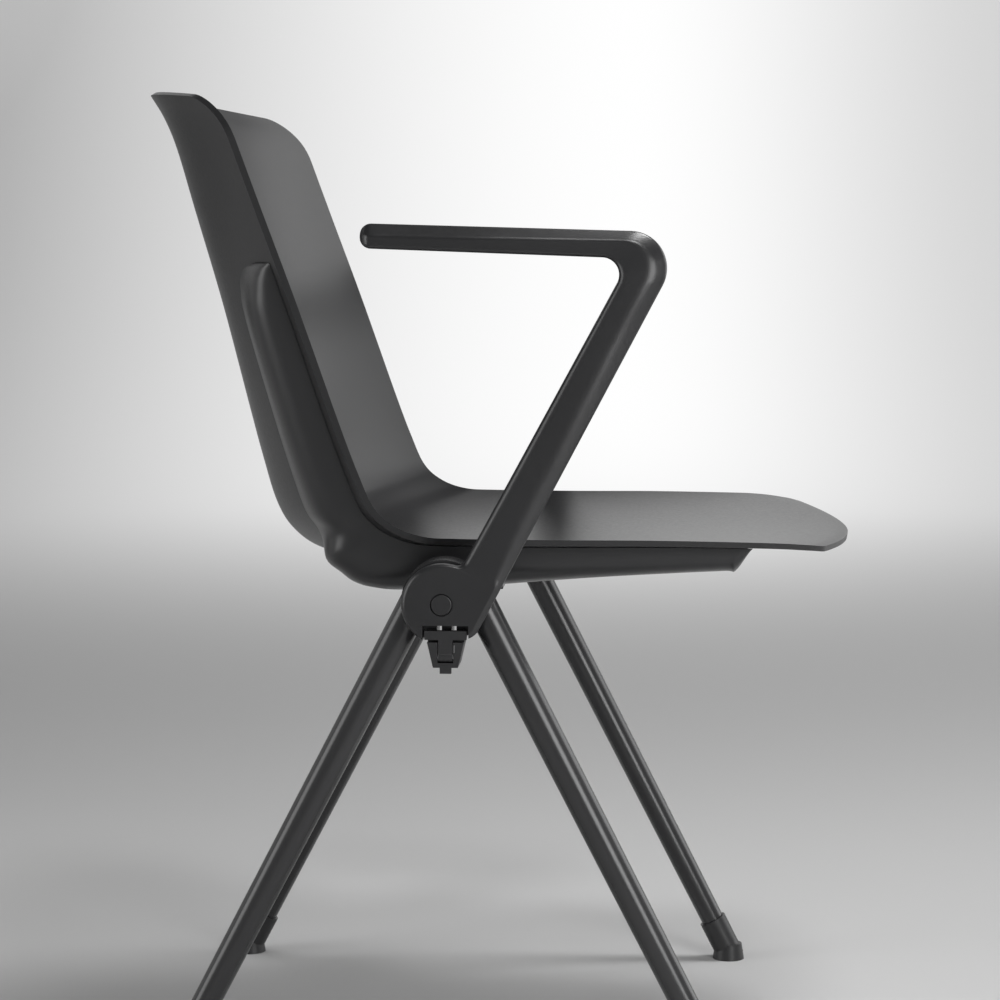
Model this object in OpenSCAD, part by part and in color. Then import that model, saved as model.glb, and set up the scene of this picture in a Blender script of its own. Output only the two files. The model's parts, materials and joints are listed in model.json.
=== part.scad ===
// Stacking armchair: one curved seat and back shell on a carrier tray,
// carried by an A-shaped tube frame on each side and one cross tube.
// X points to the front of the chair, Y to its left, Z up, in millimetres.
// The origin is on the floor, under the middle of the chair.

/* [Seat shell] */
// Height of the seat's side rims above the floor
seat_h = 455.5; // [400:0.5:500]
// Distance from the origin to the seat's front edge
seat_reach = 297; // [275:0.5:320]
// Depth of the seat's dish under its side rims
dish_depth = 29.6; // [20:0.1:33]
// Width of the shell across its side rims
shell_w = 456; // [430:1:490]
// Wall of the shell
shell_t = 4.5; // [3.5:0.1:6]
// Radius of the seat's two front corners
seat_corner_r = 30; // [20:1:45]
// Length of these roundings along the seat's sides
seat_corner_l = 48; // [30:1:70]

/* [Back] */
// Height of the top edge above the floor
back_h = 812; // [765:0.5:865]
// Distance from the origin back to the top edge
back_reach = 291; // [270:0.5:315]
// Radius of the two top corners
back_corner_r = 38; // [30:1:70]

/* [Carrier tray] */
// Wall of the tray and of its two wings
tray_t = 3; // [2.2:0.1:4]
// Depth of the tray's floor under the side rims at its lowest place
tray_depth = 46.5; // [43:0.1:50]
// How far the tray's sides stand in from the shell's side rims
tray_inset = 9; // [6:0.5:14]
// Distance from the middle to the inner edge of a wing
wing_seam_y = 147; // [120:1:160]
// Distance from the origin to the tray's front end
tray_reach = 210.5; // [190:0.5:225]
// Distance from the origin back to where the tray's floor turns up
tray_back = 127; // [117:1:133]

/* [Frame] */
// Diameter of the legs at the hub
leg_top_d = 25; // [22:0.5:28]
// Diameter of the legs at the foot
leg_foot_d = 21; // [19:0.5:22]
// Wall of the leg tubes
leg_wall = 2; // [1.5:0.1:3]
// Lean of the front legs from upright, in degrees
front_lean = 27; // [22:0.5:30]
// Lean of the rear legs from upright, in degrees
rear_lean = 27.6; // [22:0.2:30]
// Distance of the leg planes outside the shell's side rims
leg_gap = 35; // [32:0.5:42]
// Height of the line where the leg axes cross, above the hub's centre
apex_rise = 46.6; // [42:0.1:50]
// Distance of that line ahead of the hub's centre
apex_fore = 3; // [1:0.5:5]
// Width of the flat cross tube from front to back
cross_w = 36; // [30:1:40]
// Height of the cross tube
cross_h = 15; // [12:0.5:16]
// Radius of the cross tube's corners
cross_r = 5; // [4:0.5:6]
// Wall of the cross tube
cross_wall = 2; // [1.5:0.1:2.5]

/* [Hub] */
// Distance of the hub's centre behind the origin
hub_back = 27; // [20:0.5:36]
// Depth of the hub's centre under the seat's side rims
hub_drop = 44.1; // [42:0.1:50]
// Radius of the cast knuckle
knuckle_r = 32; // [31:0.5:35]
// Height of the knuckle's middle above the hub's centre
knuckle_lift = 1; // [0:0.5:3]
// Wall of the knuckle beside the legs
socket_wall = 2; // [1.5:0.1:3]
// Length of the knuckle's spigots in the cross tube
spigot_l = 40; // [30:1:60]
// Thread diameter of the arm bolt
bolt_d = 8; // [6:0.5:9]
// Diameter of the round cap over the arm bolt
cap_d = 16; // [15:0.5:18]
// Thickness of the cap
cap_t = 2; // [1.5:0.1:3]

/* [Arms] */
// Height of the arm pad's top at its rear tip
arm_h = 700; // [670:1:730]
// Distance of the arm pad's rear tip behind the origin
arm_back = 90.5; // [70:0.5:110]
// Thickness of the arm pad at its tip
pad_tip_t = 19; // [16:0.5:22]
// Thickness of the arm pad at the elbow
pad_elbow_t = 21; // [18:0.5:24]
// Width of the arm pad from side to side
pad_w = 42; // [34:1:50]
// How far the pad's outer side stands in from the arm's outer face
pad_inset = 4; // [0:0.5:8]
// Fall of the pad towards the elbow, in degrees
pad_fall = 1.65; // [0:0.05:3]
// Width of the upright, seen from the side, under the elbow
post_top_w = 31; // [27:0.5:36]
// Width of the upright, seen from the side, at the hub
post_foot_w = 34; // [30:0.5:38]
// Distance of the upright's middle ahead of the hub's centre, at the hub's height
post_fore = 19.2; // [16:0.1:22]
// Thickness of the upright from side to side
post_t = 21; // [18:0.5:24]
// Lean of the upright from the vertical, in degrees
post_lean = 28.2; // [24:0.2:31]
// Outer radius of the elbow
elbow_out_r = 28; // [20:0.5:32]
// Inner radius of the elbow
elbow_in_r = 13; // [8:0.5:18]
// Radius of the arm's round end over the hub
arm_disc_r = 31.2; // [30:0.1:33]
// Thickness of the arm's round end
arm_disc_t = 14; // [12:0.5:18]
// Height of the hub's centre above the arm's flat foot
foot_drop = 26.6; // [25:0.1:29]
// Radius of the foot's front corner
foot_r = 14; // [8:0.5:18]

/* [Row link] */
// Width of the notch in the arm's foot
notch_w = 35; // [32:0.5:38]
// Height of the notch
notch_h = 10.8; // [9:0.1:13]
// Width of the hook's head
head_w = 32; // [28:0.5:34]
// Height of the hook's head
head_h = 6.8; // [5:0.1:8]
// Width of the hook's stem
stem_w = 11; // [9:0.5:13]
// Length of the hook from its pin to the top of its head
hook_len = 20.1; // [18:0.1:22]
// Thickness of the hook
hook_t = 6; // [5:0.5:7]
// Diameter of the hook's hinge pin
pin_d = 4; // [3:0.5:5]
// Width of each cheek beside the hook's stem
cheek_w = 8; // [6:0.5:10]
// Height of the housing under the hinge pin
sill_h = 8; // [7:0.5:10]
// Thickness of the catch plate on the left side
catch_t = 4; // [3:0.5:5]
// Thread diameter of the housing's screw
link_screw_d = 4; // [3:0.5:4]
// Width of the knuckle's lug that takes this screw
lug_w = 7.5; // [6.5:0.1:9]

/* [Glides] */
// Diameter of a glide at the floor
glide_d = 30; // [26:1:34]
// Height of a glide's foot
glide_h = 15; // [12:0.5:20]
// Length of the sleeve up the leg
sleeve_l = 30; // [22:1:40]

/* [Fixings] */
// Thread diameter of the seat screws
screw_d = 6; // [5:0.5:7]
// Thickness of the mounting plates
plate_t = 3; // [2.5:0.1:4]
// Length of a mounting plate from front to back
plate_l = 80; // [74:1:110]
// Width of a mounting plate
plate_w = 58; // [50:1:66]
// Distance of a mounting plate's middle in from the shell's side rims
plate_inset = 80; // [72:1:95]

/* [Hidden] */
$fn = 96;

// Colours of the mouldings, the coated frame and the steel
shell_col = "#3a3a3c";
frame_col = "#2c2c2e";
steel_col = "#b8bac0";
nylon_col = "#1c1c1e";

// Clearances: between seated faces, in a turning hinge, and around a screw
seat_gap = 0.3;
hinge_gap = 0.08;
screw_gap = 0.25;
// Overrun of a cutting tool past the face that it leaves
over = 1;

// Shell lines. Back points are shares of the back's reach and of its rise above the seat;
// seat points are shares of the seat's reach and of the depth of its dish.
back_mid_shares = [
    [1, 1], [0.959, 0.945], [0.921, 0.869], [0.871, 0.726], [0.795, 0.51], [0.7165, 0.257],
    [0.682, 0.148], [0.642, 0.0385], [0.5965, -0.023], [0.523, -0.0645], [0.4025, -0.0845]
];
seat_mid_shares = [
    [-0.1365, 1], [0.207, 0.742], [0.551, 0.475], [0.791, 0.31], [0.946, 0.3], [1, 0.37]
];
back_rim_shares = [
    [0.7, 0.961], [0.675, 0.912], [0.651, 0.8555], [0.588, 0.715], [0.4925, 0.504],
    [0.385, 0.2545], [0.3335, 0.1425], [0.292, 0.068], [0.2365, 0.027], [0.16, 0.0045],
    [0.0595, 0]
];
seat_rim_shares = [
    [0.2015, 0.02], [0.439, 0.015], [0.675, 0.046], [0.783, 0.076], [0.844, 0.136],
    [0.8715, 0.185]
];
// Exponent of the bow from the middle of the shell to its rims
bow_share = 1.9;

half_w = shell_w / 2;
back_rise = back_h - seat_h;
function back_line(shares) = [for (p = shares) [-p[0] * back_reach, seat_h + p[1] * back_rise]];
function seat_line(shares) = [for (p = shares) [p[0] * seat_reach, seat_h - p[1] * dish_depth]];
mid_line = concat(back_line(back_mid_shares), seat_line(seat_mid_shares));
rim_line = concat(back_line(back_rim_shares), seat_line(seat_rim_shares));
last_u = len(mid_line) - 1;

// Smooth curve through the members of a list, at place u counted in members
function curve(P, u) =
    let (
        i = max(0, min(floor(u), len(P) - 2)),
        t = u - i,
        b = P[i],
        c = P[i + 1],
        a = i > 0 ? P[i - 1] : 2 * b - c,
        d = i + 2 < len(P) ? P[i + 2] : 2 * c - b
    )
    b + 0.5 * t * (c - a + t * (2 * a - 5 * b + 4 * c - d + t * (3 * b - 3 * c + d - a)));

// A point of the shell's upper surface, at place u along it and y across it
function skin(u, y) =
    let (c = curve(mid_line, u), e = curve(rim_line, u), k = pow(abs(y) / half_w, bow_share))
    [c[0] + (e[0] - c[0]) * k, y, c[1] + (e[1] - c[1]) * k];

// The same point pushed out behind or under the upper surface
u_step = 0.05;
y_step = 1;
function unit(v) = v / norm(v);
function skin_normal(u, y) =
    unit(cross(skin(u + u_step, y) - skin(u - u_step, y), skin(u, y + y_step) - skin(u, y - y_step)));
function under(u, y, depth) = skin(u, y) - depth * skin_normal(u, y);

// Half the width of the shell at place u, narrowed by its rounded corners
function corner_w(d, r, l) = d >= l ? half_w : half_w - r * (1 - sqrt(1 - pow((l - d) / l, 2)));
function shell_half(u) =
    min(
        corner_w(norm(curve(rim_line, u) - rim_line[0]), back_corner_r, back_corner_r),
        corner_w(norm(curve(rim_line, u) - rim_line[last_u]), seat_corner_r, seat_corner_l)
    );

// Places along the shell at which its mesh has a row
corner_u = 2.5;
corner_turn = 15;
row_step = 0.5;
shell_rows = concat(
    [for (a = [0:corner_turn:90 - corner_turn]) corner_u * (1 - cos(a))],
    [for (u = [corner_u + row_step / 2:row_step:last_u - corner_u]) u],
    [for (a = [90:-corner_turn:0]) last_u - corner_u * (1 - cos(a))]
);
shell_cols = 28;

// A closed sheet between two grids of points. Cells before open_rows and between
// columns open_from and open_to are left open.
module sheet(outer, inner, open_rows = 0, open_from = 0, open_to = 0) {
    rows = len(outer);
    cols = len(outer[0]);
    count = rows * cols;
    function is_cell(i, j) =
        i >= 0 && j >= 0 && i < rows - 1 && j < cols - 1
        && !(i < open_rows && j >= open_from && j < open_to);
    function at(i, j) = i * cols + j;
    function wall(p, q) = [[q, p, p + count], [q, p + count, q + count]];
    points = concat([for (row = outer) each row], [for (row = inner) each row]);
    faces = [
        for (i = [0:rows - 2], j = [0:cols - 2])
            if (is_cell(i, j))
                let (a = at(i, j), b = at(i, j + 1), c = at(i + 1, j + 1), d = at(i + 1, j))
                each concat(
                    [[a, d, c], [a, c, b]],
                    [[a + count, b + count, c + count], [a + count, c + count, d + count]],
                    is_cell(i, j - 1) ? [] : wall(a, d),
                    is_cell(i + 1, j) ? [] : wall(d, c),
                    is_cell(i, j + 1) ? [] : wall(c, b),
                    is_cell(i - 1, j) ? [] : wall(b, a)
                )
    ];
    polyhedron(points, faces, convexity = 8);
}

// Seat and back in one moulding
function shell_grid(depth) = [
    for (u = shell_rows)
        [for (j = [0:shell_cols]) under(u, (2 * j / shell_cols - 1) * shell_half(u), depth)]
];
module seat_shell() {
    color(shell_col) sheet(shell_grid(shell_t), shell_grid(0));
}

// Carrier tray. A station is a place u along the shell, where a row of the tray ends at its
// rim. The wings lie on the shell; the floor hangs under it along floor_points, which are
// shares of the tray's reach or back and of its depth.
tray_half = half_w - tray_inset + seat_gap;
tray_rim_y = half_w - tray_inset;
tray_seat = shell_t + seat_gap;
wing_stations = [3.56, 3.64, 3.83, 4.15, 5, 6, 7, 7.7];
wing_full_shares = [0, 0.42, 0.76, 0.97, 1, 1, 1, 1];
rear_stations = [8.15, 8.5, 8.85, 9.2, 9.75];
rear_floor_shares = [[1.02, 0.46], [0.922, 0.705], [0.84, 0.868], [0.72, 0.963], [0.509, 1]];
front_floor_shares = [
    [0, 0.912], [0.284, 0.802], [0.474, 0.737], [0.711, 0.67], [0.9, 0.622], [0.94, 0.611]
];
wing_lean_share = 0.25;
shell_lean_share = 0.8;
corner_share = 0.88;
seam_in_share = 0.68;
side_steps = 8;
centre_steps = 6;
row_split = 2;
halvings = 16;
floor_from_u = 8;

function mix(a, b, t) = a + (b - a) * t;
function bezier(a, b, c, d, t) =
    a * pow(1 - t, 3) + 3 * b * t * pow(1 - t, 2) + 3 * c * t * t * (1 - t) + d * pow(t, 3);
function side_curve(m, k, r) = [
    for (i = [0:side_steps])
        bezier(m, mix(m, k, corner_share), mix(r, k, corner_share), r, i / side_steps)
];
function flip(P) = [for (i = [len(P) - 1:-1:0]) [P[i][0], -P[i][1], P[i][2]]];
function full_row(side, centre) = concat(flip(side), centre, side);

// Place u along the shell where its lower face is at x, found by halving
function place_at(x, y, lo, hi, n) =
    let (m = (lo + hi) / 2, past = under(m, y, shell_t)[0] > x)
    n == 0 ? m : past ? place_at(x, y, lo, m, n - 1) : place_at(x, y, m, hi, n - 1);
function place(x, y) = place_at(x, y, floor_from_u, last_u, halvings);
function shell_z(x, y) = under(place(x, y), y, shell_t)[2];

floor_points = concat(
    [for (s = rear_floor_shares) [-s[0] * tray_back, seat_h - s[1] * tray_depth]],
    [for (s = front_floor_shares) [s[0] * tray_reach, seat_h - s[1] * tray_depth]]
);
tray_stations = concat(
    rear_stations,
    [for (s = front_floor_shares) place(s[0] * tray_reach, tray_rim_y)]
);
// The floor's line with the points of the rows between
floor_line = [
    for (i = [0:row_split * (len(floor_points) - 1)]) curve(floor_points, i / row_split)
];
function floor_z(x) = lookup(x, floor_line);

// Row of the tray where it lies on the shell, fullness 0 to 1; depth 0 is its inner face
function shell_row(u, fullness, depth) =
    let (
        seam_y = mix(mix(wing_seam_y, tray_rim_y, seam_in_share), wing_seam_y, fullness),
        m = under(u, seam_y, tray_seat + depth),
        r = under(u, tray_rim_y - tray_t + depth, tray_seat),
        lean = mix(shell_lean_share, wing_lean_share, fullness),
        k = [mix(m[0], r[0], lean), tray_half - tray_t + depth, mix(m[2], r[2], lean)]
    )
    full_row(
        side_curve(m, k, r),
        [
            for (i = [1:centre_steps - 1])
                under(u, seam_y * (2 * i / centre_steps - 1), tray_seat + depth)
        ]
    );

// Row of the tray where its floor hangs under the shell
function floor_normal(i) =
    let (
        a = floor_points[max(0, i - 1)],
        b = floor_points[min(len(floor_points) - 1, i + 1)],
        t = unit(b - a)
    )
    [-t[1], t[0]];
function floor_row(i, depth) =
    let (
        p = floor_points[i] + (tray_t - depth) * floor_normal(i),
        m = [p[0], wing_seam_y, p[1]],
        r = under(tray_stations[i], tray_rim_y - tray_t + depth, tray_seat),
        k = [p[0], tray_half - tray_t + depth, p[1]]
    )
    full_row(
        side_curve(m, k, r),
        [for (j = [1:centre_steps - 1]) [p[0], wing_seam_y * (2 * j / centre_steps - 1), p[1]]]
    );
function tray_rows(depth) = concat(
    [for (i = [0:len(wing_stations) - 1]) shell_row(wing_stations[i], wing_full_shares[i], depth)],
    [for (i = [0:len(tray_stations) - 1]) floor_row(i, depth)],
    [shell_row(place(tray_reach, tray_rim_y), 0, depth)]
);
function fine_rows(rows) = [
    for (i = [0:row_split * (len(rows) - 1)]) curve(rows, i / row_split)
];
// The floor starts at its fourth station, and the wings stand free above that
tray_floor_start = 3;
tray_open_rows = row_split * (len(wing_stations) + tray_floor_start);
module tray_skin() {
    sheet(
        fine_rows(tray_rows(tray_t)),
        fine_rows(tray_rows(0)),
        tray_open_rows,
        side_steps,
        side_steps + centre_steps
    );
}

// Places of the seat's screws, on both sides
hub_x = -hub_back;
hub_z = seat_h - hub_drop;
leg_y = half_w + leg_gap;
plate_y = half_w - plate_inset;
screw_x_share = 0.37;
screw_y_share = 0.27;
screw_places = [
    for (sx = [-1, 1], sy = [-1, 1])
        [hub_x + sx * plate_l * screw_x_share, plate_y + sy * plate_w * screw_y_share]
];
front_screw_shares = [0.76, 0.86];
front_screw = [tray_reach * front_screw_shares[0], wing_seam_y * front_screw_shares[1]];
module on_side(side) {
    if (side < 0) mirror([0, 1, 0]) children();
    else children();
}
module along_y(x, z, from, to, r) {
    translate([x, from, z]) rotate([-90, 0, 0]) cylinder(r = r, h = to - from);
}
module along_x(y, z, half, r) {
    translate([apex_x - half, y, z]) rotate([0, 90, 0]) cylinder(r = r, h = 2 * half);
}

module carrier_tray() {
    color(shell_col) difference() {
        tray_skin();
        for (side = [-1, 1], at = concat(screw_places, [front_screw]))
            on_side(side)
                translate([at[0], at[1], floor_z(at[0]) - 2 * tray_t])
                    cylinder(d = screw_d + 2 * screw_gap, h = 4 * tray_t);
    }
}

// Plane of the mounting plates: it leans with the tray's floor and clears its lowest line
plate_from = hub_x - plate_l / 2;
plate_to = hub_x + plate_l / 2;
plate_slope = (floor_z(plate_to) - floor_z(plate_from)) / plate_l;
plate_lean = atan(plate_slope);
plate_top = min([
    for (p = concat(floor_line, [[plate_from, floor_z(plate_from)]]))
        if (p[0] >= plate_from && p[0] <= plate_to) p[1] - (p[0] - hub_x) * plate_slope
]) - seat_gap;
plate_low = plate_top - plate_t / cos(plate_lean);
module on_plate() {
    translate([hub_x, 0, plate_top]) rotate([0, -plate_lean, 0]) children();
}

// Threaded sleeves stand on the tray's floor under the shell
sleeve_d = 2 * screw_d;
sleeve_tilt = sleeve_d / 2 * plate_slope;
module sleeve_at(at) {
    foot = floor_z(at[0]) + tray_t + seat_gap + sleeve_tilt;
    head = min([
        for (dx = [-1, 1], dy = [-1, 0, 1])
            shell_z(at[0] + dx * sleeve_d / 2, at[1] + dy * sleeve_d / 2)
    ]) - seat_gap;
    translate([at[0], at[1], foot]) difference() {
        cylinder(d = sleeve_d, h = head - foot);
        translate([0, 0, -over]) cylinder(d = screw_d + hinge_gap, h = head - foot + 2 * over);
    }
}
module threaded_sleeves() {
    color(steel_col)
        for (side = [-1, 1], at = concat(screw_places, [front_screw]))
            on_side(side) sleeve_at(at);
}

// A button-head screw, pointing up, with z zero under its head
head_share = 1.8;
head_h_share = 0.55;
head_top_share = 1.35;
hex_share = 0.62;
hex_h_share = 0.38;
module screw(d, l) {
    difference() {
        union() {
            cylinder(d = d, h = l);
            translate([0, 0, -d * head_h_share])
                cylinder(d1 = d * head_top_share, d2 = d * head_share, h = d * head_h_share);
        }
        translate([0, 0, -d * head_h_share - over])
            cylinder(d = d * hex_share, h = d * hex_h_share + over, $fn = 6);
    }
}
screw_reach = 9;
head_tilt = screw_d * head_share / 2 * plate_slope;
module plate_screws() {
    color(steel_col)
        for (side = [-1, 1], at = screw_places)
            on_side(side)
                translate([at[0], at[1], plate_low + (at[0] - hub_x) * plate_slope - head_tilt - seat_gap])
                    screw(screw_d, plate_t + screw_reach);
}
module tray_screws() {
    color(steel_col)
        for (side = [-1, 1])
            on_side(side)
                translate([front_screw[0], front_screw[1], floor_z(front_screw[0]) - head_tilt - seat_gap])
                    screw(screw_d, screw_reach);
}

// Flat cross tube under the mounting plates, in their plane
cross_z = -plate_t - seat_gap - cross_h / 2;
knuckle_in = leg_y - leg_top_d / 2 - socket_wall;
knuckle_out = leg_y + leg_top_d / 2 + socket_wall;
cross_end = knuckle_in - seat_gap;
module round_bar(w, h, r, from, to) {
    translate([-w / 2 + r, from, cross_z - h / 2]) cube([w - 2 * r, to - from, h]);
    translate([-w / 2, from, cross_z - h / 2 + r]) cube([w, to - from, h - 2 * r]);
    for (sx = [-1, 1], sz = [-1, 1])
        along_y(sx * (w / 2 - r), cross_z + sz * (h / 2 - r), from, to, r);
}
module bar_inside(grow, from, to) {
    lost = 2 * (cross_wall - grow);
    round_bar(cross_w - lost, cross_h - lost, cross_r - lost / 2, from, to);
}
module cross_tube() {
    color(frame_col) on_plate() difference() {
        round_bar(cross_w, cross_h, cross_r, -cross_end, cross_end);
        bar_inside(0, -cross_end - over, cross_end + over);
    }
}

// Mounting plate with a flange down each side of the cross tube
flange_h_share = 0.6;
module mount_plate() {
    difference() {
        on_plate() {
            translate([-plate_l / 2, plate_y - plate_w / 2, -plate_t])
                cube([plate_l, plate_w, plate_t]);
            for (side = [-1, 1])
                translate([
                    side * (cross_w / 2 + seat_gap + plate_t / 2) - plate_t / 2,
                    plate_y - plate_w / 2,
                    -plate_t - cross_h * flange_h_share
                ])
                    cube([plate_t, plate_w, plate_t + cross_h * flange_h_share]);
        }
        for (at = screw_places)
            translate([at[0], at[1], plate_low - cross_h])
                cylinder(d = screw_d + 2 * screw_gap, h = 2 * cross_h);
    }
}
module mount_plate_right() { color(frame_col) on_side(-1) mount_plate(); }
module mount_plate_left() { color(frame_col) on_side(1) mount_plate(); }

// Legs: straight tapered tubes whose axes cross above the hub
apex_x = hub_x + apex_fore;
apex_z = hub_z + apex_rise;
leg_end_share = 0.75;
leg_start = apex_rise / cos(rear_lean);
function leg_length(lean) = (apex_z - glide_h * leg_end_share) / cos(lean);

// Places its children on a leg axis, with z running down the leg from the apex
module on_leg(lean) {
    translate([apex_x, leg_y, apex_z]) rotate([0, 180 - lean, 0]) children();
}
module leg_cone(lean, from, to, grow) {
    top_r = leg_top_d / 2;
    foot_r = leg_foot_d / 2;
    span = leg_length(lean) - leg_start;
    function r_at(s) = top_r + (foot_r - top_r) * (s - leg_start) / span;
    on_leg(lean) translate([0, 0, from])
        cylinder(r1 = r_at(from) + grow, r2 = r_at(to) + grow, h = to - from);
}
module leg(lean) {
    color(frame_col) difference() {
        leg_cone(lean, leg_start, leg_length(lean), 0);
        leg_cone(lean, leg_start - over, leg_length(lean) + over, -leg_wall);
    }
}
module front_leg_right() { on_side(-1) leg(front_lean); }
module front_leg_left() { on_side(1) leg(front_lean); }
module rear_leg_right() { on_side(-1) leg(-rear_lean); }
module rear_leg_left() { on_side(1) leg(-rear_lean); }

// Cast knuckle that joins two legs, the cross tube, the arm and the row link
arm_in = knuckle_out + seat_gap;
arm_out = arm_in + arm_disc_t;
foot_z = hub_z - foot_drop;
bolt_in = knuckle_in + leg_wall;
lug_gap = lug_w / 2;
lug_gap_x = (lug_w + lug_gap) / 2;
module knuckle() {
    difference() {
        union() {
            along_y(hub_x, hub_z + knuckle_lift, knuckle_in, knuckle_out, knuckle_r);
            on_plate() bar_inside(-hinge_gap, knuckle_in - spigot_l, knuckle_in + over);
        }
        translate([hub_x - knuckle_r, knuckle_in - over, foot_z - knuckle_r])
            cube([2 * knuckle_r, knuckle_out - knuckle_in + 2 * over, knuckle_r]);
        for (side = [-1, 1])
            translate([apex_x + side * lug_gap_x - lug_gap / 2, knuckle_in - over, foot_z - over])
                cube([lug_gap, knuckle_out - knuckle_in + 2 * over, notch_h + over]);
        leg_cone(front_lean, leg_start, leg_length(front_lean), 0);
        leg_cone(-rear_lean, leg_start, leg_length(rear_lean), 0);
        along_y(hub_x, hub_z, bolt_in, knuckle_out + over, bolt_d / 2);
        translate([apex_x, leg_y, foot_z - over]) cylinder(d = link_screw_d, h = over + 2 * link_screw_d);
    }
}
module knuckle_right() { color(frame_col) on_side(-1) knuckle(); }
module knuckle_left() { color(frame_col) on_side(1) knuckle(); }

// Glides on the leg ends
glide_wall = 2.2;
sleeve_from_share = 0.5;
module glide(lean) {
    len = leg_length(lean);
    foot_x = apex_x + (apex_z - glide_h * sleeve_from_share) * tan(lean);
    color(nylon_col) difference() {
        union() {
            translate([foot_x, leg_y, 0])
                cylinder(d1 = glide_d, d2 = leg_foot_d + 2 * glide_wall, h = glide_h);
            difference() {
                leg_cone(lean, len - sleeve_l, len + glide_h, glide_wall);
                translate([foot_x - 2 * glide_d, leg_y - glide_d, -2 * glide_h])
                    cube([4 * glide_d, 2 * glide_d, (2 + sleeve_from_share) * glide_h]);
            }
        }
        leg_cone(lean, leg_start, len + seat_gap, hinge_gap);
    }
}
module front_glide_right() { on_side(-1) glide(front_lean); }
module front_glide_left() { on_side(1) glide(front_lean); }
module rear_glide_right() { on_side(-1) glide(-rear_lean); }
module rear_glide_left() { on_side(1) glide(-rear_lean); }

// Arm: its outline seen from the side runs along an outer and an inner line
function across(v) = [v[1], -v[0]];
function meet(p, u, q, v) =
    p + u * ((q[0] - p[0]) * v[1] - (q[1] - p[1]) * v[0]) / (u[0] * v[1] - u[1] * v[0]);
post_foot = [hub_x + post_fore, hub_z];
post_dir = [sin(post_lean), cos(post_lean)];
pad_dir = [cos(pad_fall), -sin(pad_fall)];
pad_top = [-arm_back, arm_h];
pad_low = [-arm_back, arm_h - pad_tip_t];
post_run = arm_h - hub_z;
pad_run = post_foot[0] + post_run * tan(post_lean) + arm_back;
pad_low_dir = unit([pad_run, -pad_run * tan(pad_fall) - (pad_elbow_t - pad_tip_t)]);
post_taper = (post_foot_w - post_top_w) / 2;
post_out = post_foot + across(post_dir) * post_foot_w / 2;
post_in = post_foot - across(post_dir) * post_foot_w / 2;
post_out_dir = unit(post_dir * post_run - across(post_dir) * post_taper);
post_in_dir = unit(post_dir * post_run + across(post_dir) * post_taper);
out_corner = meet(pad_top, pad_dir, post_out, post_out_dir);
in_corner = meet(pad_low, pad_low_dir, post_in, post_in_dir);
foot_corner = meet(post_out, post_out_dir, [hub_x, foot_z], [1, 0]);

// Arc of radius r that rounds the corner between two directions leaving it
function corner_arc(corner, a, b, r, n) =
    let (
        half = acos(a * b) / 2,
        centre = corner + unit(a + b) * r / sin(half),
        start = corner + a * r / tan(half),
        finish = corner + b * r / tan(half),
        a0 = atan2(start[1] - centre[1], start[0] - centre[0]),
        a1 = atan2(finish[1] - centre[1], finish[0] - centre[0]),
        turn = a1 - a0 > 180 ? a1 - a0 - 360 : a1 - a0 < -180 ? a1 - a0 + 360 : a1 - a0
    )
    [for (i = [0:n]) centre + r * [cos(a0 + turn * i / n), sin(a0 + turn * i / n)]];
function line(a, b, n) = [for (i = [0:n - 1]) mix(a, b, i / n)];
elbow_steps = 10;
pad_steps = 8;
post_steps = 10;
out_arc = corner_arc(out_corner, -pad_dir, -post_out_dir, elbow_out_r, elbow_steps);
in_arc = corner_arc(in_corner, -pad_low_dir, -post_in_dir, elbow_in_r, elbow_steps);
foot_arc = corner_arc(foot_corner, post_out_dir, [-1, 0], foot_r, elbow_steps);
tip_l = pad_tip_t / 2;
function arm_side(tip, tip_dir, arc, foot) = concat(
    line(tip + tip_dir * tip_l, arc[0], pad_steps),
    arc,
    [for (i = [1:post_steps]) mix(arc[elbow_steps], foot, i / post_steps)]
);
out_side = arm_side(pad_top, pad_dir, out_arc, post_out);
in_side = arm_side(pad_low, pad_low_dir, in_arc, post_in);

// Half the arm's width from side to side, and the line of its middle, ring by ring
pad_tip_share = 0.8;
pad_elbow_share = 0.92;
elbow_share = 1.12;
last_ring = len(out_side) - 1;
elbow_ring = pad_steps + elbow_steps;
foot_rings = 4;
elbow_rings = 2;
foot_from = last_ring - foot_rings;
foot_to = last_ring - 1;
disc_mid = (arm_in + arm_out) / 2;
post_mid = arm_out - post_t / 2;
pad_mid = arm_out - pad_w / 2 - pad_inset;
arm_half_w = [
    [0, pad_w / 2 * pad_tip_share], [pad_steps / 2, pad_w / 2],
    [pad_steps, pad_w / 2 * pad_elbow_share], [elbow_ring, post_t / 2 * elbow_share],
    [elbow_ring + elbow_rings, post_t / 2], [foot_from, post_t / 2],
    [foot_to, arm_disc_t / 2], [last_ring, arm_disc_t / 2]
];
arm_mid_y = [
    [0, pad_mid], [pad_steps, pad_mid], [elbow_ring, post_mid], [foot_from, post_mid],
    [foot_to, disc_mid], [last_ring, disc_mid]
];
ring_sides = 20;
squareness_share = 0.55;
function pow_sign(v) = sign(v) * pow(abs(v), squareness_share);
function arm_ring(i, scale) =
    let (
        m = (out_side[i] + in_side[i]) / 2,
        h = (out_side[i] - in_side[i]) / 2,
        b = lookup(i, arm_half_w),
        y = lookup(i, arm_mid_y)
    )
    [
        for (k = [0:ring_sides - 1])
            let (
                a = 360 * k / ring_sides,
                c = pow_sign(cos(a)) * scale,
                s = pow_sign(sin(a)) * scale
            )
            [m[0] + h[0] * c, y + b * s, m[1] + h[1] * c]
    ];
tip_angles = [15, 40, 65];
arm_tube = concat(
    [
        for (a = tip_angles)
            [for (p = arm_ring(0, sin(a))) p - [pad_dir[0], 0, pad_dir[1]] * tip_l * cos(a)]
    ],
    [for (i = [0:last_ring]) arm_ring(i, 1)]
);
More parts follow.
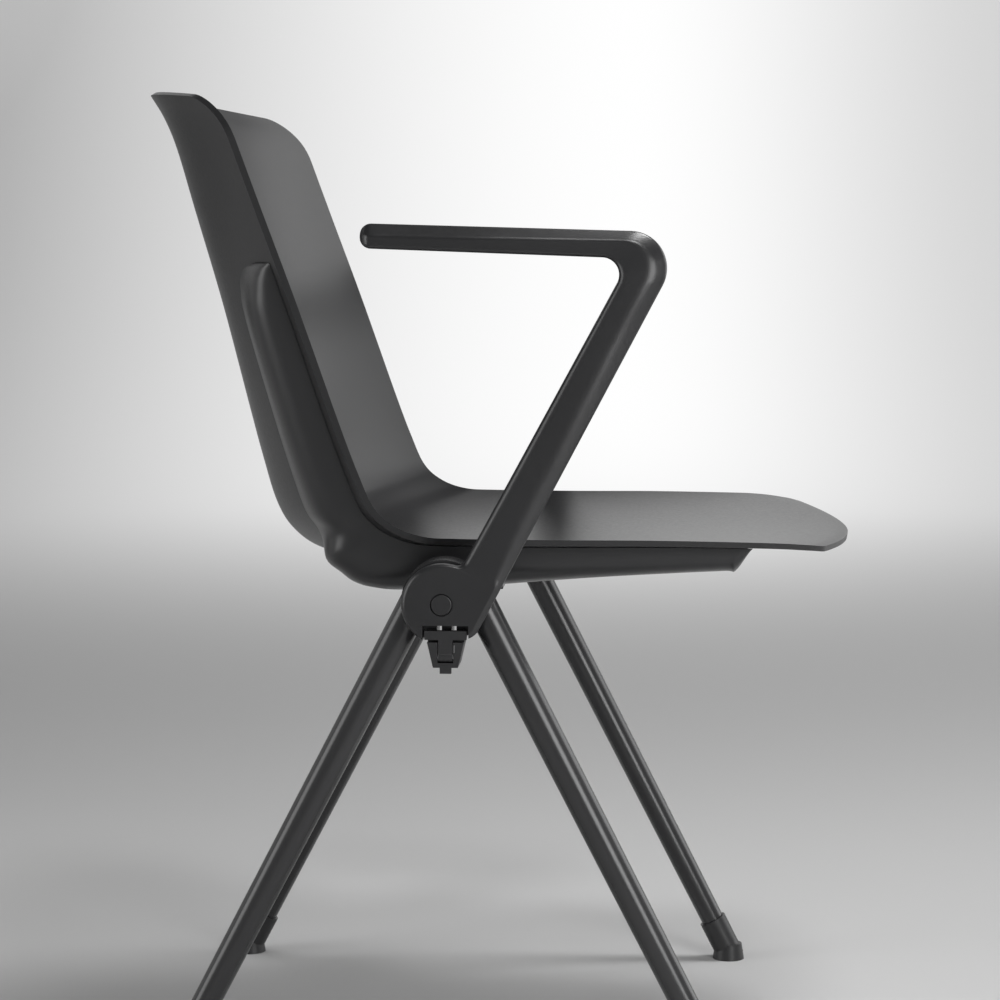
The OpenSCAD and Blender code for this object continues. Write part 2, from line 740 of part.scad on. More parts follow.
module tube_of(rings) {
    n = len(rings[0]);
    m = len(rings);
    points = [for (r = rings) each r];
    faces = concat(
        [[for (k = [n - 1:-1:0]) k]],
        [
            for (i = [0:m - 2], k = [0:n - 1])
                let (a = i * n + k, b = i * n + (k + 1) % n)
                each [[a, b, b + n], [a, b + n, a + n]]
        ],
        [[for (k = [0:n - 1]) (m - 1) * n + k]]
    );
    polyhedron(points, faces, convexity = 6);
}
module prism_y(edge, from, to) {
    translate([0, to, 0]) rotate([90, 0, 0]) linear_extrude(to - from) polygon(edge);
}
cap_seat = arm_out - cap_t;
head_seat = cap_seat - bolt_d * head_h_share;
module arm() {
    difference() {
        union() {
            tube_of(arm_tube);
            along_y(hub_x, hub_z, arm_in, arm_out, arm_disc_r);
            prism_y(concat([[hub_x, foot_z], [hub_x, hub_z], post_out], foot_arc), arm_in, arm_out);
        }
        along_y(hub_x, hub_z, arm_in - over, arm_out + over, bolt_d / 2 + screw_gap);
        along_y(hub_x, hub_z, head_seat - seat_gap, arm_out + over, cap_d / 2 + hinge_gap);
        translate([apex_x - notch_w / 2, arm_in - over, foot_z - over])
            cube([notch_w, arm_disc_t + 2 * over, notch_h + over]);
        translate([hub_x - arm_disc_r, arm_in - over, foot_z - arm_disc_r])
            cube([2 * arm_disc_r, arm_disc_t + 2 * over, arm_disc_r]);
    }
}
module arm_right() { color(shell_col) on_side(-1) arm(); }
module arm_left() { color(shell_col) on_side(1) arm(); }

module arm_bolt() {
    translate([hub_x, head_seat, hub_z]) rotate([90, 0, 0])
        screw(bolt_d, head_seat - bolt_in - over);
}
module arm_bolt_right() { color(steel_col) on_side(-1) arm_bolt(); }
module arm_bolt_left() { color(steel_col) on_side(1) arm_bolt(); }
module bolt_cap() { along_y(hub_x, hub_z, cap_seat, arm_out, cap_d / 2); }
module bolt_cap_right() { color(shell_col) on_side(-1) bolt_cap(); }
module bolt_cap_left() { color(shell_col) on_side(1) bolt_cap(); }

// Row link under the hubs. On the right a hook folds out of its housing on a pin; on the
// left the hook of the next chair drops behind a catch plate.
slot_gap = 0.5;
head_gap = 2;
link_out = arm_out - seat_gap;
link_in = leg_y - lug_w;
hook_y = link_out - hook_t / 2;
pin_z = foot_z + head_h - hook_len;
barrel_share = 0.65;
barrel_r = hook_t * barrel_share;
slot_half = stem_w / 2 + slot_gap;
slot_in = hook_y - barrel_r - slot_gap;
link_top = foot_z - seat_gap;
cheek_top = foot_z - head_gap;
sill_z = pin_z - sill_h;
housing_half = slot_half + cheek_w;
sill_share = 0.68;
nib_w = 8.7;
nib_h = 4.6;
window_w = 1.9;
link_edge = [
    [apex_x - housing_half, link_top],
    [apex_x - housing_half, cheek_top],
    [apex_x - housing_half * sill_share, sill_z],
    [apex_x + housing_half * sill_share, sill_z],
    [apex_x + housing_half, cheek_top],
    [apex_x + housing_half, link_top]
];
module link_body() {
    difference() {
        union() {
            prism_y(link_edge, link_in, link_out);
            translate([apex_x - nib_w / 2, link_out - hook_t, sill_z - nib_h])
                cube([nib_w, hook_t, nib_h + over]);
        }
        translate([apex_x - 2 * housing_half, slot_in, cheek_top])
            cube([4 * housing_half, link_out - slot_in + over, head_h]);
        translate([apex_x, leg_y, sill_z - over])
            cylinder(d = link_screw_d + 2 * screw_gap, h = link_top - sill_z + 2 * over);
        translate([apex_x, leg_y, sill_z - over])
            cylinder(d = link_screw_d * head_share + 2 * screw_gap, h = over + link_screw_d * head_h_share);
    }
}
module slot(half, from, to) {
    translate([apex_x - half, from, pin_z - barrel_r - slot_gap])
        cube([2 * half, to - from, link_top]);
}
module link_housing() {
    pin_top = pin_z + pin_d / 2 + slot_gap;
    difference() {
        link_body();
        slot(slot_half, slot_in, link_out + over);
        along_x(hook_y, pin_z, 2 * housing_half, pin_d / 2 + hinge_gap / 2);
        translate([apex_x + slot_half - over, slot_in - over, pin_top])
            cube([window_w, link_out - slot_in + 2 * over, cheek_top - pin_top - head_gap]);
        translate([apex_x + link_screw_d, link_in - over, pin_z - head_gap])
            cube([slot_half + window_w - over - link_screw_d, slot_in - link_in + over, cheek_top - pin_z]);
    }
}
module link_catch() {
    difference() {
        link_body();
        slot(slot_half, slot_in, link_out + over);
        slot(2 * housing_half, link_out - catch_t - head_h - 2 * head_gap, link_out - catch_t);
    }
}
module link_housing_right() { color(nylon_col) on_side(-1) link_housing(); }
module link_catch_left() { color(nylon_col) on_side(1) link_catch(); }
module link_screws() {
    color(steel_col)
        for (side = [-1, 1])
            on_side(side)
                translate([apex_x, leg_y, sill_z + link_screw_d * head_h_share - seat_gap])
                    screw(link_screw_d, link_top - sill_z + link_screw_d);
}
pin_half = slot_half + cheek_w / 2;
module link_pin() {
    color(steel_col) on_side(-1) along_x(hook_y, pin_z, pin_half, pin_d / 2);
}
module link_hook() {
    color(nylon_col) on_side(-1) difference() {
        union() {
            along_x(hook_y, pin_z, stem_w / 2, barrel_r);
            translate([apex_x - stem_w / 2, hook_y - hook_t / 2, pin_z])
                cube([stem_w, hook_t, hook_len]);
            translate([apex_x - head_w / 2, hook_y - hook_t / 2, foot_z])
                cube([head_w, hook_t, head_h]);
        }
        along_x(hook_y, pin_z, stem_w, pin_d / 2 + hinge_gap);
    }
}

seat_shell();
carrier_tray();
threaded_sleeves();
plate_screws();
tray_screws();
cross_tube();
mount_plate_right();
mount_plate_left();
knuckle_right();
knuckle_left();
front_leg_right();
front_leg_left();
rear_leg_right();
rear_leg_left();
front_glide_right();
front_glide_left();
rear_glide_right();
rear_glide_left();
arm_right();
arm_left();
arm_bolt_right();
arm_bolt_left();
bolt_cap_right();
bolt_cap_left();
link_housing_right();
link_catch_left();
link_screws();
link_hook();
link_pin();
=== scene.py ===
import json
import math

import bmesh
import bpy
import numpy as np
from mathutils import Matrix, Vector


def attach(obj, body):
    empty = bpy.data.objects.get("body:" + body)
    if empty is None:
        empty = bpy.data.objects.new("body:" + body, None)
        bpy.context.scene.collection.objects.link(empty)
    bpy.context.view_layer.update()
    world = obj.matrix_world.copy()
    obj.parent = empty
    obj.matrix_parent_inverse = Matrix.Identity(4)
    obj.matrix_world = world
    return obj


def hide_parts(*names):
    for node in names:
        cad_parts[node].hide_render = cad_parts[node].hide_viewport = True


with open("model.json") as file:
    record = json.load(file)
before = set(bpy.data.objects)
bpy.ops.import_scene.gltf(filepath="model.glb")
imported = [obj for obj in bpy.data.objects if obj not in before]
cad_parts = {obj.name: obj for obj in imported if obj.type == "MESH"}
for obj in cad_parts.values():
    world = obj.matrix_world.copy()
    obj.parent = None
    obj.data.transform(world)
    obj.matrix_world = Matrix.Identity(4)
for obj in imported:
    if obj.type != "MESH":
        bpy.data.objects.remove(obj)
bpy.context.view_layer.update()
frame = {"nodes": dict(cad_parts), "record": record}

# The chair's driving sizes, in millimetres, as part.scad has them
MM = 0.001
SEAT_H, SEAT_REACH, DISH_DEPTH = 455.5, 297, 29.6
SHELL_W, SHELL_T, SEAT_CORNER_R, SEAT_CORNER_L = 456, 4.5, 30, 48
BACK_H, BACK_REACH, BACK_CORNER_R = 812, 291, 38
TRAY_T, TRAY_DEPTH, TRAY_INSET = 3, 46.5, 9
WING_SEAM_Y, TRAY_REACH, TRAY_BACK = 147, 210.5, 127
SEAT_GAP = 0.3
HUB = np.array([-27.0, SEAT_H - 44.1])
LEG_Y, LEG_TOP_D, SOCKET_WALL = SHELL_W / 2 + 35, 25, 2
ARM_H, ARM_BACK, PAD_TIP_T, PAD_ELBOW_T = 700, 90.5, 19, 21
PAD_W, PAD_INSET, PAD_FALL = 42, 4, math.radians(1.65)
POST_TOP_W, POST_FOOT_W, POST_FORE, POST_T = 31, 34, 19.2, 21
POST_LEAN = math.radians(28.2)
ELBOW_OUT_R, ELBOW_IN_R = 28, 13
ARM_DISC_R, ARM_DISC_T, FOOT_DROP, FOOT_R = 31.2, 14, 26.6, 14
APEX_X = HUB[0] + 3
NOTCH_W, NOTCH_H = 35, 10.8
CAP_D, CAP_T = 16, 2
ARM_IN = LEG_Y + LEG_TOP_D / 2 + SOCKET_WALL + SEAT_GAP
ARM_OUT = ARM_IN + ARM_DISC_T
FOOT_Z = HUB[1] - FOOT_DROP

# Shell lines, as shares of the back's reach and rise, and of the seat's reach and dish
BACK_MID = [
    (1, 1), (0.959, 0.945), (0.921, 0.869), (0.871, 0.726), (0.795, 0.51), (0.7165, 0.257),
    (0.682, 0.148), (0.642, 0.0385), (0.5965, -0.023), (0.523, -0.0645), (0.4025, -0.0845),
]
SEAT_MID = [(-0.1365, 1), (0.207, 0.742), (0.551, 0.475), (0.791, 0.31), (0.946, 0.3), (1, 0.37)]
BACK_RIM = [
    (0.7, 0.961), (0.675, 0.912), (0.651, 0.8555), (0.588, 0.715), (0.4925, 0.504),
    (0.385, 0.2545), (0.3335, 0.1425), (0.292, 0.068), (0.2365, 0.027), (0.16, 0.0045),
    (0.0595, 0),
]
SEAT_RIM = [
    (0.2015, 0.02), (0.439, 0.015), (0.675, 0.046), (0.783, 0.076), (0.844, 0.136),
    (0.8715, 0.185),
]
BOW = 1.9  # power by which the shell's upper surface rises from its middle to its rims
HALF_W = SHELL_W / 2
SLOPE_U, SLOPE_Y = 0.05, 1  # steps along and across the shell that give its slope


def line_of(back, seat):
    rise = BACK_H - SEAT_H
    points = [(-x * BACK_REACH, SEAT_H + z * rise) for x, z in back]
    points += [(x * SEAT_REACH, SEAT_H - z * DISH_DEPTH) for x, z in seat]
    return np.array(points)


MID_LINE = line_of(BACK_MID, SEAT_MID)
RIM_LINE = line_of(BACK_RIM, SEAT_RIM)
LAST_U = len(MID_LINE) - 1


def curve(points, u):
    """Smooth curve through the members of a list, at place u counted in members."""
    i = max(0, min(math.floor(u), len(points) - 2))
    t = u - i
    b, c = points[i], points[i + 1]
    a = points[i - 1] if i > 0 else 2 * b - c
    d = points[i + 2] if i + 2 < len(points) else 2 * c - b
    return b + 0.5 * t * (c - a + t * (2 * a - 5 * b + 4 * c - d + t * (3 * b - 3 * c + d - a)))


def skin(u, y):
    """Points of the shell's upper surface, at place u along it and the places y across it."""
    y = np.atleast_1d(y)
    c, e = curve(MID_LINE, u), curve(RIM_LINE, u)
    k = (np.abs(y) / HALF_W) ** BOW
    return np.stack([c[0] + (e[0] - c[0]) * k, y, c[1] + (e[1] - c[1]) * k], axis=-1)


def under(u, y, depth):
    """The same points pushed out behind or under the upper surface."""
    y = np.atleast_1d(y)
    along = skin(u + SLOPE_U, y) - skin(u - SLOPE_U, y)
    sideways = skin(u, y + SLOPE_Y) - skin(u, y - SLOPE_Y)
    normal = np.cross(along, sideways)
    return skin(u, y) - depth * normal / np.linalg.norm(normal, axis=-1, keepdims=True)


def corner_w(distance, r, length):
    """Half width of the shell at a distance from its end, where r and length round its corner."""
    if distance >= length:
        return HALF_W
    return HALF_W - r * (1 - math.sqrt(1 - ((length - distance) / length) ** 2))


def shell_half(u):
    """Half width of the shell at place u."""
    rim = curve(RIM_LINE, u)
    top = np.linalg.norm(rim - RIM_LINE[0])
    front = np.linalg.norm(rim - RIM_LINE[LAST_U])
    return min(
        corner_w(top, BACK_CORNER_R, BACK_CORNER_R), corner_w(front, SEAT_CORNER_R, SEAT_CORNER_L)
    )


# Meshes
ROUND_SIDES = 96


def new_object(name, points, faces, smooth=True):
    mesh = bpy.data.meshes.new(name)
    mesh.from_pydata([tuple(MM * c for c in p) for p in points], [], faces)
    mesh.validate()
    obj = bpy.data.objects.new(name, mesh)
    bpy.context.collection.objects.link(obj)
    if smooth:
        mesh.shade_smooth()
    return obj


def sheet(name, outer, inner, is_open=lambda i, j: False):
    """A closed sheet between two grids of points, without the cells that are open."""
    rows, cols = len(outer), len(outer[0])
    count = rows * cols

    def solid(i, j):
        return 0 <= i < rows - 1 and 0 <= j < cols - 1 and not is_open(i, j)

    faces = []
    for i in range(rows - 1):
        for j in range(cols - 1):
            if not solid(i, j):
                continue
            a, b = i * cols + j, i * cols + j + 1
            c, d = b + cols, a + cols
            faces.append((a, d, c, b))
            faces.append((a + count, b + count, c + count, d + count))
            for near, p, q in (
                ((i, j - 1), a, d), ((i + 1, j), d, c), ((i, j + 1), c, b), ((i - 1, j), b, a),
            ):
                if not solid(*near):
                    faces.append((q, p, p + count, q + count))
    points = [tuple(p) for grid in (outer, inner) for row in grid for p in row]
    obj = new_object(name, points, faces)
    tidy_mesh(obj)
    return obj


def tidy_mesh(obj):
    """Drops loose points and turns all faces outwards."""
    work = bmesh.new()
    work.from_mesh(obj.data)
    bmesh.ops.remove_doubles(work, verts=work.verts, dist=1e-6)
    bmesh.ops.delete(work, geom=[v for v in work.verts if not v.link_faces], context="VERTS")
    bmesh.ops.recalc_face_normals(work, faces=work.faces)
    work.to_mesh(obj.data)
    work.free()


def round_edges(obj, width, segments, angle=40):
    """Rounds the edges that are sharper than the angle, by a width in millimetres."""
    bevel = obj.modifiers.new("round", "BEVEL")
    bevel.width = width * MM
    bevel.segments = segments
    bevel.limit_method = "ANGLE"
    bevel.angle_limit = math.radians(angle)
    bevel.harden_normals = True


def apply_modifiers(obj):
    shape = obj.evaluated_get(bpy.context.evaluated_depsgraph_get())
    mesh = bpy.data.meshes.new_from_object(shape)
    obj.modifiers.clear()
    obj.data = mesh


def cut(obj, cutters):
    """Cuts the cutters out of obj, and deletes them."""
    for cutter in cutters:
        hole = obj.modifiers.new("cut", "BOOLEAN")
        hole.operation = "DIFFERENCE"
        hole.solver = "EXACT"
        hole.object = cutter
    apply_modifiers(obj)
    for cutter in cutters:
        bpy.data.objects.remove(cutter)


def mirrored(obj, name):
    """A copy on the chair's other side."""
    copy = obj.copy()
    copy.data = obj.data.copy()
    copy.name = name
    bpy.context.collection.objects.link(copy)
    work = bmesh.new()
    work.from_mesh(copy.data)
    bmesh.ops.transform(work, matrix=Matrix.Scale(-1, 4, Vector((0, 1, 0))), verts=work.verts)
    bmesh.ops.reverse_faces(work, faces=work.faces)
    work.to_mesh(copy.data)
    work.free()
    return copy


def block(name, low, high):
    """A box, used as a cutter."""
    corners = [
        (x, y, z) for x in (low[0], high[0]) for y in (low[1], high[1]) for z in (low[2], high[2])
    ]
    faces = [(0, 1, 3, 2), (4, 6, 7, 5), (0, 4, 5, 1), (2, 3, 7, 6), (0, 2, 6, 4), (1, 5, 7, 3)]
    return new_object(name, corners, faces, smooth=False)


def hoop_faces(rings, sides):
    """Faces between rings of points, each ring with as many points as sides."""
    faces = []
    for i in range(rings - 1):
        for k in range(sides):
            a, b = i * sides + k, i * sides + (k + 1) % sides
            faces.append((a, a + sides, b + sides, b))
    return faces


def circle(r, sides):
    turns = [2 * math.pi * k / sides for k in range(sides)]
    return [(r * math.cos(a), r * math.sin(a)) for a in turns]


def drum(name, x, z, y0, y1, r):
    """A cylinder along Y, used as a cutter or a cap."""
    sides = ROUND_SIDES
    points = [(x + dx, y, z + dz) for y in (y0, y1) for dx, dz in circle(r, sides)]
    faces = [(k, (k + 1) % sides, (k + 1) % sides + sides, k + sides) for k in range(sides)]
    faces += [tuple(range(sides - 1, -1, -1)), tuple(range(sides, 2 * sides))]
    obj = new_object(name, points, faces)
    tidy_mesh(obj)
    return obj


# Seat and back shell: rows lie closer together at its rounded ends
CORNER_U, CORNER_STEPS = 2.5, 22
SHELL_COLS, ROW_STEP = 90, 0.1
EDGE_IN = 2.2  # how much narrower the shell's rear face is, at each side


def make_shell():
    ends = [CORNER_U * (1 - math.cos(math.pi / 2 * k / CORNER_STEPS)) for k in range(CORNER_STEPS)]
    middle = np.arange(CORNER_U, LAST_U - CORNER_U + ROW_STEP / 2, ROW_STEP)
    rows = ends + list(middle) + [LAST_U - u for u in reversed(ends)]
    share = np.linspace(-1, 1, SHELL_COLS + 1)

    def grid(depth):
        edge_in = EDGE_IN * depth / SHELL_T
        return [under(u, share * (shell_half(u) - edge_in), depth) for u in rows]

    shell = sheet("shell_moulding", grid(SHELL_T), grid(0))
    round_edges(shell, width=1.6, segments=4)
    return shell


# Carrier tray with its two wings, laid over the shell's rear face at places along it
TRAY_HALF = HALF_W - TRAY_INSET + SEAT_GAP
TRAY_RIM_Y = HALF_W - TRAY_INSET
TRAY_SEAT = SHELL_T + SEAT_GAP
WING_STATIONS = [3.56, 3.64, 3.83, 4.15, 5, 6, 7, 7.7]
WING_FULL = [0, 0.42, 0.76, 0.97, 1, 1, 1, 1]
REAR_STATIONS = [8.15, 8.5, 8.85, 9.2, 9.75]
REAR_FLOOR = [(1.02, 0.46), (0.922, 0.705), (0.84, 0.868), (0.72, 0.963), (0.509, 1)]
FRONT_FLOOR = [
    (0, 0.912), (0.284, 0.802), (0.474, 0.737), (0.711, 0.67), (0.9, 0.622), (0.94, 0.611),
]

# Shares between a row's seam and its rim: how far its corner leans out with a wing and without
# one, how tight that corner is, and how far out the seam lies without a wing
WING_LEAN, SHELL_LEAN, CORNER_SHARE, SEAM_IN = 0.25, 0.8, 0.88, 0.68
SIDE_STEPS, CENTRE_STEPS, ROW_SPLIT = 24, 12, 6
CENTRE_SHARES = np.linspace(-1, 1, CENTRE_STEPS + 1)[1:-1]
FLOOR_FROM_U, FLOOR_START = 8, 3
HALVINGS = 16


def mix(a, b, t):
    return a + (b - a) * t


def place(x, y):
    """Place u along the shell where its lower face is at x, found by halving."""
    low, high = FLOOR_FROM_U, LAST_U
    for _ in range(HALVINGS):
        middle = (low + high) / 2
        if under(middle, y, SHELL_T)[0][0] > x:
            high = middle
        else:
            low = middle
    return (low + high) / 2


def full_row(m, k, r, centre):
    """A row across the tray: curves from seam m past corner k to rim r, and the centre between."""
    a, b = mix(m, k, CORNER_SHARE), mix(r, k, CORNER_SHARE)
    side = []
    for i in range(SIDE_STEPS + 1):
        t = i / SIDE_STEPS
        s = 1 - t
        side.append(m * s**3 + 3 * a * t * s**2 + 3 * b * t**2 * s + r * t**3)
    side = np.array(side)
    return np.concatenate([side[::-1] * [1, -1, 1], centre, side])


def shell_row(u, full, depth):
    """A row that follows the shell, with a wing as broad as full says from 0 to 1."""
    seam_y = mix(mix(WING_SEAM_Y, TRAY_RIM_Y, SEAM_IN), WING_SEAM_Y, full)
    m = under(u, seam_y, TRAY_SEAT + depth)[0]
    r = under(u, TRAY_RIM_Y - TRAY_T + depth, TRAY_SEAT)[0]
    lean = mix(SHELL_LEAN, WING_LEAN, full)
    k = np.array([mix(m[0], r[0], lean), TRAY_HALF - TRAY_T + depth, mix(m[2], r[2], lean)])
    return full_row(m, k, r, under(u, CENTRE_SHARES * seam_y, TRAY_SEAT + depth))


def tray_rows(depth):
    """Rows from the wings' tops to the tray's front: the inner face at 0, the outer at TRAY_T."""
    floor = np.array(
        [(-x * TRAY_BACK, SEAT_H - z * TRAY_DEPTH) for x, z in REAR_FLOOR]
        + [(x * TRAY_REACH, SEAT_H - z * TRAY_DEPTH) for x, z in FRONT_FLOOR]
    )
    stations = REAR_STATIONS + [place(x * TRAY_REACH, TRAY_RIM_Y) for x, _ in FRONT_FLOOR]
    rows = [shell_row(u, full, depth) for u, full in zip(WING_STATIONS, WING_FULL)]
    for i, u in enumerate(stations):
        a, b = floor[max(0, i - 1)], floor[min(len(floor) - 1, i + 1)]
        along = (b - a) / np.linalg.norm(b - a)
        x, z = floor[i] + (TRAY_T - depth) * np.array([-along[1], along[0]])
        m = np.array([x, WING_SEAM_Y, z])
        k = np.array([x, TRAY_HALF - TRAY_T + depth, z])
        r = under(u, TRAY_RIM_Y - TRAY_T + depth, TRAY_SEAT)[0]
        centre = np.array([(x, share * WING_SEAM_Y, z) for share in CENTRE_SHARES])
        rows.append(full_row(m, k, r, centre))
    rows.append(shell_row(place(TRAY_REACH, TRAY_RIM_Y), 0, depth))
    return [curve(rows, i / ROW_SPLIT) for i in range(ROW_SPLIT * (len(rows) - 1) + 1)]


def make_tray():
    open_rows = ROW_SPLIT * (len(WING_STATIONS) + FLOOR_START)

    def is_open(i, j):
        return i < open_rows and SIDE_STEPS <= j < SIDE_STEPS + CENTRE_STEPS

    tray = sheet("carrier_moulding", tray_rows(TRAY_T), tray_rows(0), is_open)
    round_edges(tray, width=1.1, segments=3)
    return tray


# Arm: its outline seen from the side runs along an outer and an inner line
PAD_STEPS, ELBOW_STEPS, POST_STEPS, FOOT_STEPS = 24, 22, 26, 40
TIP_STEPS, FILLET_STEPS, DISC_STEPS = 9, 8, 60
OUTER_POINTS, RIDGE_POINTS, INNER_POINTS = 5, 8, 6
FILLET_R = 7  # between the post's inner line and its round end
LEAST_HALF = 0.5  # half width that the section keeps under its roundings
OVER = 2  # how far cutters reach past what they cut
CAP_GAP, CAP_SINK = 0.7, 0.1  # round the bolt cap, and under the arm's face


def right_of(v):
    return np.array([v[1], -v[0]])


def unit(v):
    return v / np.linalg.norm(v)


def meet(p, u, q, v):
    """Where the line through p along u meets the line through q along v."""
    return p + u * ((q[0] - p[0]) * v[1] - (q[1] - p[1]) * v[0]) / (u[0] * v[1] - u[1] * v[0])


def arc(centre, r, start, finish, steps):
    """Points round centre, the short way from the direction start to the direction finish."""
    a = math.atan2(start[1], start[0])
    turn = math.remainder(math.atan2(finish[1], finish[0]) - a, 2 * math.pi)
    angles = a + turn * np.linspace(0, 1, steps + 1)
    return centre + r * np.stack([np.cos(angles), np.sin(angles)], axis=-1)


def corner_arc(corner, a, b, r, steps):
    """Rounding of a corner that is left along the directions a and b."""
    half = math.acos(a @ b) / 2
    centre = corner + unit(a + b) * r / math.sin(half)
    start, finish = corner + a * r / math.tan(half), corner + b * r / math.tan(half)
    return arc(centre, r, start - centre, finish - centre, steps)


def line(a, b, steps):
    """Points from a to b, without b."""
    return [mix(a, b, i / steps) for i in range(steps)]


def evenly(points, steps):
    """The same line with its points spaced evenly along it."""
    points = np.array(points)
    length = np.concatenate([[0], np.cumsum(np.linalg.norm(np.diff(points, axis=0), axis=1))])
    at = np.linspace(0, length[-1], steps + 1)
    return np.stack([np.interp(at, length, points[:, i]) for i in range(2)], axis=-1)


def arm_outline():
    """The outer and the inner line, with their points paired, and the pad's direction."""
    post_foot = HUB + [POST_FORE, 0]
    post_dir = np.array([math.sin(POST_LEAN), math.cos(POST_LEAN)])
    pad_dir = np.array([math.cos(PAD_FALL), -math.sin(PAD_FALL)])
    pad_top = np.array([-ARM_BACK, ARM_H])
    pad_low = pad_top - [0, PAD_TIP_T]
    post_run = ARM_H - HUB[1]
    pad_run = post_foot[0] + post_run * math.tan(POST_LEAN) + ARM_BACK
    pad_drop = pad_run * math.tan(PAD_FALL) + PAD_ELBOW_T - PAD_TIP_T
    pad_low_dir = unit(np.array([pad_run, -pad_drop]))
    taper = (POST_FOOT_W - POST_TOP_W) / 2
    post_out = post_foot + right_of(post_dir) * POST_FOOT_W / 2
    post_in = post_foot - right_of(post_dir) * POST_FOOT_W / 2
    out_dir = unit(post_dir * post_run - right_of(post_dir) * taper)
    in_dir = unit(post_dir * post_run + right_of(post_dir) * taper)
    out_corner = meet(pad_top, pad_dir, post_out, out_dir)
    in_corner = meet(pad_low, pad_low_dir, post_in, in_dir)
    foot_corner = meet(post_out, out_dir, np.array([HUB[0], FOOT_Z]), np.array([1.0, 0.0]))
    out_arc = corner_arc(out_corner, -pad_dir, -out_dir, ELBOW_OUT_R, ELBOW_STEPS)
    in_arc = corner_arc(in_corner, -pad_low_dir, -in_dir, ELBOW_IN_R, ELBOW_STEPS)
    foot_arc = corner_arc(foot_corner, out_dir, np.array([-1.0, 0.0]), FOOT_R, ELBOW_STEPS)

    # The inner line runs through a fillet into the circle of the round end
    left = -right_of(in_dir)
    start = post_in + left * FILLET_R - HUB
    b = start @ in_dir
    t = -b + math.sqrt(b * b - start @ start + (ARM_DISC_R + FILLET_R) ** 2)
    centre = start + in_dir * t
    fillet = arc(HUB + centre, FILLET_R, -left, -centre, FILLET_STEPS)
    from_angle = math.atan2(centre[1], centre[0])
    to_angle = math.pi + math.asin(FOOT_DROP / ARM_DISC_R)
    angles = np.linspace(from_angle, to_angle, DISC_STEPS)
    disc = HUB + ARM_DISC_R * np.stack([np.cos(angles), np.sin(angles)], axis=-1)
    inner_foot = evenly(np.concatenate([fillet, disc]), FOOT_STEPS)

    # The outer line's foot starts opposite the fillet's start
    level = fillet[0] + right_of(in_dir) * (POST_FOOT_W + POST_TOP_W) / 2
    outer_from = meet(level, right_of(in_dir), post_out, out_dir)
    outer_foot = evenly(np.concatenate([[outer_from], foot_arc]), FOOT_STEPS)

    tip_l = PAD_TIP_T / 2
    outer = line(pad_top + pad_dir * tip_l, out_arc[0], PAD_STEPS) + list(out_arc)
    inner = line(pad_low + pad_low_dir * tip_l, in_arc[0], PAD_STEPS) + list(in_arc)
    outer += line(out_arc[-1], outer_from, POST_STEPS)[1:] + list(outer_foot)
    inner += line(in_arc[-1], fillet[0], POST_STEPS)[1:] + list(inner_foot)
    return np.array(outer), np.array(inner), pad_dir


def eased(at, keys):
    """Value at a place along keys of (place, value), with soft joins."""
    for (x0, v0), (x1, v1) in zip(keys, keys[1:]):
        if at <= x1:
            t = max(0, (at - x0) / (x1 - x0))
            return mix(v0, v1, t * t * (3 - 2 * t))
    return keys[-1][1]


def face_profile(height, rise, depth, corners):
    """One side of the section, as places up it and depths in from its face.

    It starts at the outer edge with a slope, as high as rise and as deep as depth, and the face
    below that slope is flat.
    """
    slope = unit(np.array([rise, depth]))
    inward, down = np.array([0.0, 1.0]), np.array([-1.0, 0.0])
    outer_r, ridge_r, inner_r = corners
    return np.concatenate([
        corner_arc(np.array([height, depth]), inward, -slope, outer_r, OUTER_POINTS),
        corner_arc(np.array([height - rise, 0.0]), slope, down, ridge_r, RIDGE_POINTS),
        corner_arc(np.array([-height, 0.0]), -down, inward, inner_r, INNER_POINTS),
    ])


def section_ring(middle, half, half_y, y, profile, scale=1):
    """The section round the middle: half is its half height as a vector in XZ."""
    up = unit(half)
    points = []
    for side, places in ((1, profile), (-1, profile[::-1])):
        for u, depth in places:
            x, z = middle + up * u * scale
            points.append((x, y + side * max(LEAST_HALF, half_y - depth) * scale, z))
    return points


